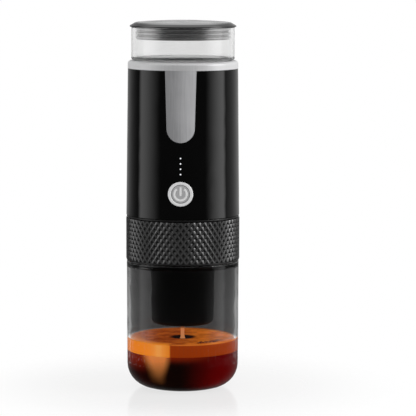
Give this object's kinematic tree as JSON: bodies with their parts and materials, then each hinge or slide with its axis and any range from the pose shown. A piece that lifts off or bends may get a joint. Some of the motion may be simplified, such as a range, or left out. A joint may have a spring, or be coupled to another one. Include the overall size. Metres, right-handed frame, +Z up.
{
  "type": "portable espresso maker",
  "caption": "Slim cordless espresso maker: lidded clear water tank, gloss sleeve with power button, diamond-textured twist grip, and a smoke-clear cup that it stands on.",
  "frame": {"origin": "centre of the cup's flat base, which the part stands on", "axes": "+Z up along the axis, -Y towards the front with the power button, +X to the right of someone at the back"},
  "size_m": [0.0736, 0.0736, 0.2386],
  "materials": {
    "lid": "gloss",
    "seal_grey": "matt",
    "clear": "polished, clear",
    "silicone": "matt, translucent",
    "silver": "satin, clear coated",
    "black_gloss": "piano gloss",
    "black_matt": "fine matt",
    "grip": "satin",
    "smoke": "polished, smoke tinted",
    "steel": "brushed",
    "chassis": "moulded",
    "cell_wrap": "shrink wrapped",
    "board": "solder mask",
    "lamp": "milky",
    "copper": "enamelled wire",
    "brass": "turned",
    "heater": "cast",
    "chrome": "polished"
  },
  "bodies": {
    "cup": {"cup": "smoke"},
    "chamber": {"brew_chamber": "black_matt", "grip_band": "grip", "basket": "steel", "basket_screen": "steel", "cup_seal": "silicone"},
    "brew_seal": {"brew_seal": "silicone"},
    "housing": {"brew_head": "black_matt", "head_screws": "steel", "shower_screen": "steel", "outer_sleeve": "black_gloss", "collar": "silver", "heating_cup": "steel", "heater": "heater", "thermostat": "black_matt", "heater_carrier": "chassis", "chassis": "chassis", "left_cell": "cell_wrap", "right_cell": "cell_wrap", "control_board": "board", "light_chips": "lamp", "light_guide": "lamp", "push_switch": "black_matt", "button_bezel": "chrome", "charging_board": "board", "charging_socket": "steel", "inlet_hose": "silicone", "pump_top": "black_matt", "pump_frame": "steel", "pump_coil": "copper", "pump_cylinder": "brass", "plunger_spring": "steel", "pump_base": "black_matt", "valve_spring": "steel", "outlet_seal": "silicone"},
    "button": {"button_cap": "silver", "switch_plunger": "lamp"},
    "port_cover": {"port_cover": "black_matt"},
    "plunger": {"pump_plunger": "steel"},
    "check_ball": {"check_ball": "steel"},
    "tank_seal": {"tank_seal": "silicone"},
    "tank": {"water_tank": "clear"},
    "lid": {"lid_cap": "lid", "lid_seal": "seal_grey"}
  },
  "joints": [
    {"name": "cup_pull", "type": "slide", "parent": "cup", "child": "chamber", "axis": [0, 0, 1], "range_m": [0, 0.06]},
    {"name": "brew_lift", "type": "slide", "parent": "chamber", "child": "brew_seal", "axis": [0, 0, 1], "range_m": [0, 0.0113]},
    {"name": "brew_twist", "type": "hinge", "parent": "brew_seal", "child": "housing", "pos_m": [0, 0, 0.1], "axis": [0, 0, 1], "range_deg": [0, 270]},
    {"name": "button_press", "type": "slide", "parent": "housing", "child": "button", "axis": [0, 1, 0], "range_m": [0, 0.0008], "stiffness_N_per_m": 2500, "springref_m": -0.0002},
    {"name": "port_cover_flap", "type": "hinge", "parent": "housing", "child": "port_cover", "pos_m": [0, 0.03597, 0.13405], "axis": [1, 0, 0], "range_deg": [0, 100], "stiffness_Nm_per_rad": 0.0003, "springref_deg": -5.73},
    {"name": "plunger_stroke", "type": "slide", "parent": "housing", "child": "plunger", "axis": [0, 0, 1], "range_m": [-0.0015, 0.0015], "stiffness_N_per_m": 2000, "deforming": ["plunger_spring"]},
    {"name": "ball_lift", "type": "slide", "parent": "housing", "child": "check_ball", "axis": [0, 0, -1], "range_m": [0, 0.001], "stiffness_N_per_m": 200, "springref_m": -0.001, "deforming": ["valve_spring"]},
    {"name": "tank_lift", "type": "slide", "parent": "housing", "child": "tank_seal", "axis": [0, 0, 1], "range_m": [0, 0.0091]},
    {"name": "tank_twist", "type": "hinge", "parent": "tank_seal", "child": "tank", "pos_m": [0, 0, 0.21], "axis": [0, 0, 1], "range_deg": [0, 270]},
    {"name": "lid_pull", "type": "slide", "parent": "tank", "child": "lid", "axis": [0, 0, 1], "range_m": [0, 0.035]}
  ],
  "couplings": [
    {"joint": "brew_lift", "follows": "brew_twist", "m_per_rad": 0.0023873},
    {"joint": "tank_lift", "follows": "tank_twist", "m_per_rad": 0.0019099}
  ]
}
